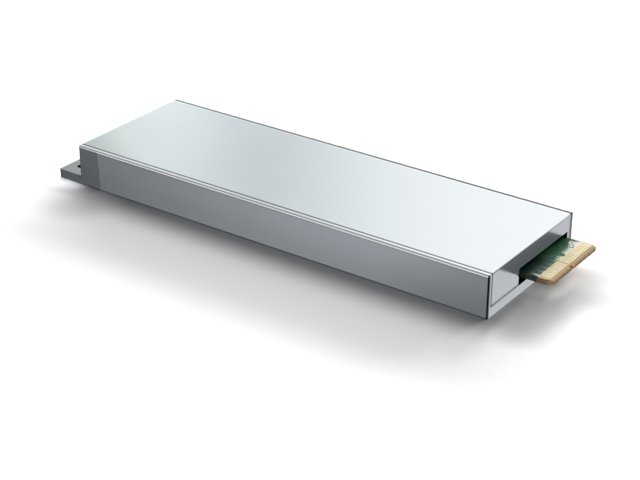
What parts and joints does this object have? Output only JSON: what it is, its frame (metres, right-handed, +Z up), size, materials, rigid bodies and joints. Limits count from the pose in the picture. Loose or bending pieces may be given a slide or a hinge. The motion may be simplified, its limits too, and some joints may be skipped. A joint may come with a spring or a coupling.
{
  "type": "enterprise solid state drive",
  "caption": "Short ruler-form solid state drive in a thin cast metal case, with a screw tab at one end and a bare card-edge tongue with gold contacts at the other.",
  "frame": {"origin": "under the middle of the drive, on the surface it lies on", "axes": "+X along the drive towards the gold contacts, +Z up through the cover, +Y towards the long side without the seam at the top"},
  "size_m": [0.1188, 0.0338, 0.0095],
  "materials": {
    "base_metal": "satin",
    "cover_metal": "satin",
    "solder_mask": "gloss",
    "contact_gold": "polished",
    "chip_black": "matte",
    "ferrite_grey": "matte",
    "crystal_can": "satin",
    "capacitor_yellow": "matte",
    "ceramic_tan": "matte",
    "lamp_lens": "gloss",
    "pipe_clear": "clear",
    "heat_pad": "matte",
    "screw_steel": "satin"
  },
  "bodies": {
    "root": {"case_base": "base_metal", "case_cover": "cover_metal", "ceramic_capacitors": "ceramic_tan", "chip_resistors": "chip_black", "circuit_board": "solder_mask", "clock_crystal": "crystal_can", "controller": "chip_black", "controller_heat_pad": "heat_pad", "cover_screws": "screw_steel", "hold_up_capacitors": "capacitor_yellow", "input_switch": "chip_black", "light_pipes": "pipe_clear", "lower_contacts": "contact_gold", "lower_flash_1": "chip_black", "lower_flash_2": "chip_black", "lower_flash_3": "chip_black", "lower_flash_4": "chip_black", "lower_heat_pads": "heat_pad", "memory_1": "chip_black", "memory_2": "chip_black", "memory_heat_pad": "heat_pad", "power_chip": "chip_black", "power_heat_pad": "heat_pad", "power_inductors": "ferrite_grey", "start_flash": "chip_black", "status_lamps": "lamp_lens", "surge_diode": "chip_black", "temperature_sensor": "chip_black", "upper_contacts": "contact_gold", "upper_flash_1": "chip_black", "upper_flash_2": "chip_black", "upper_flash_heat_pad": "heat_pad"}
  },
  "joints": []
}
